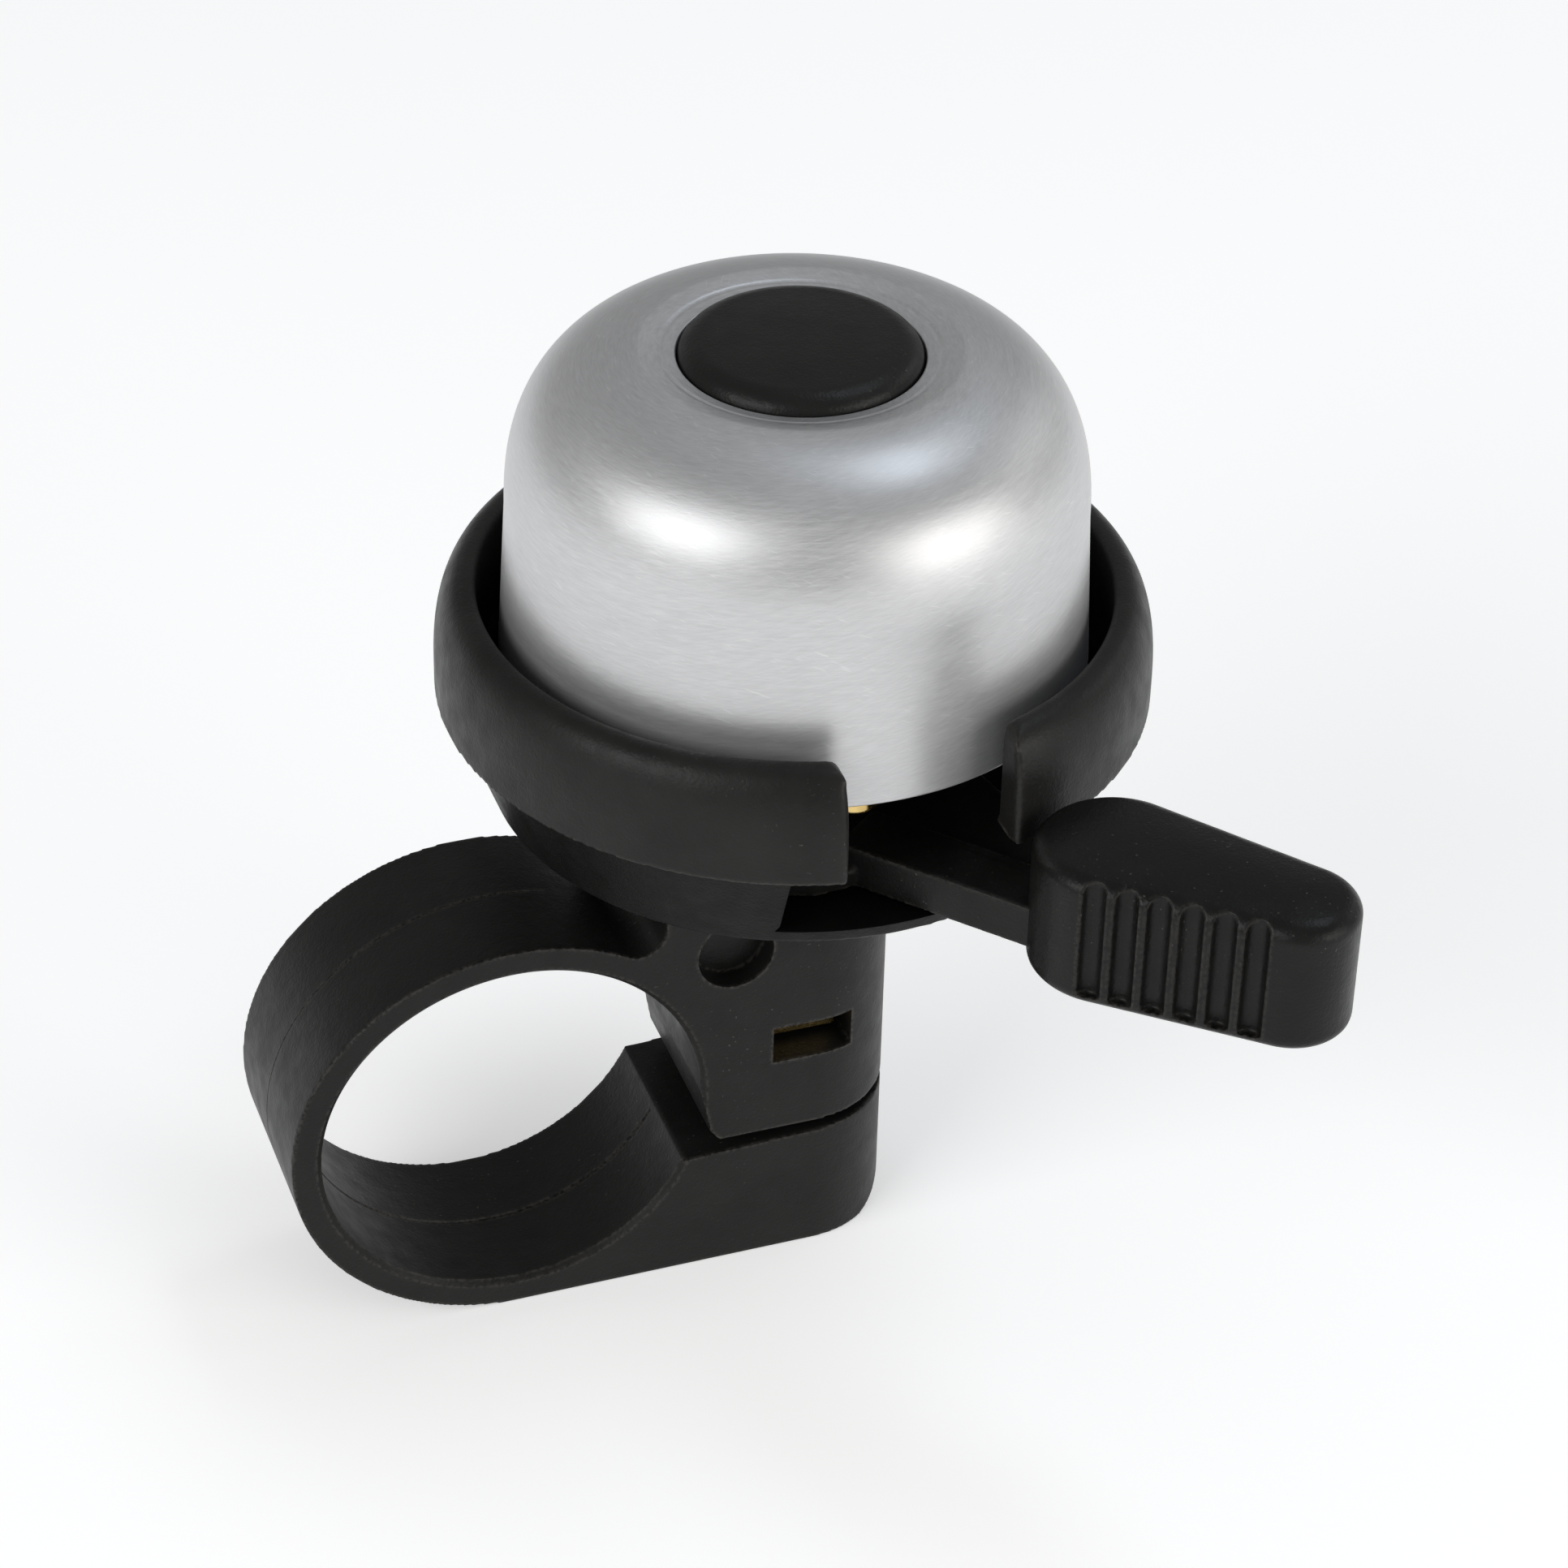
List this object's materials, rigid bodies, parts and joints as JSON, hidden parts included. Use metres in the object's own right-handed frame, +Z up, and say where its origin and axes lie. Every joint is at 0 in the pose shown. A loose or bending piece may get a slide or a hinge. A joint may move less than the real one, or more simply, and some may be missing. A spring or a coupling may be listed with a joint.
{
  "type": "bicycle bell",
  "caption": "Handlebar bell with a metal dome in an open plastic collar, a ribbed thumb lever and a split band clamp tightened by a screw.",
  "frame": {"origin": "on the handlebar's axis, midway along the clamp's width", "axes": "+Y along the handlebar, +Z up along the dome's axis, +X from the handlebar towards the bell"},
  "size_m": [0.0549, 0.0568, 0.0622],
  "materials": {
    "black_plastic": "fine-grained matt charcoal moulding",
    "dome_aluminium": "satin, finely brushed",
    "steel": "zinc-plated",
    "brass": "turned, lightly tarnished",
    "nylon": "natural nylon"
  },
  "bodies": {
    "base": {"clamp_body": "black_plastic", "clamp_nut": "brass", "base_cup": "black_plastic", "dome_stud": "steel", "post_sleeve": "nylon", "dome_seat_washer": "nylon", "dome": "dome_aluminium", "dome_top_washer": "steel", "dome_nut": "steel", "dome_cap": "black_plastic", "lever_pin": "steel", "lever_washer": "nylon", "return_spring": "steel"},
    "clamp_lug": {"clamp_lug": "black_plastic", "clamp_washer": "steel"},
    "clamp_screw": {"clamp_screw": "steel"},
    "lever": {"lever_arm": "black_plastic", "thumb_pad": "black_plastic", "lever_bush": "brass", "striker_rivet": "brass"},
    "striker": {"striker_leaf": "steel", "hammer": "brass"}
  },
  "joints": [
    {"name": "clamp_flex", "type": "hinge", "parent": "base", "child": "clamp_lug", "pos_m": [-0.01313, 0, 0], "axis": [0, -1, 0], "range_deg": [0, 0.8]},
    {"name": "clamp_screw_turn", "type": "hinge", "parent": "clamp_lug", "child": "clamp_screw", "pos_m": [0.0188, 0, -0.0115], "axis": [0, 0, 1], "range_deg": [0, 320]},
    {"name": "lever_pivot", "type": "hinge", "parent": "base", "child": "lever", "pos_m": [0.014, 0.0082, 0.0213], "axis": [0, 0, 1], "range_deg": [0, 18], "stiffness_Nm_per_rad": 0.15, "springref_deg": -5.73},
    {"name": "striker_flex", "type": "hinge", "parent": "lever", "child": "striker", "pos_m": [0.0097, -0.0068, 0.0281], "axis": [0, 0, 1], "range_deg": [-0.8, 5], "stiffness_Nm_per_rad": 0.1}
  ],
  "couplings": [
    {"joint": "clamp_flex", "follows": "clamp_screw_turn", "ratio": 0.0025}
  ]
}
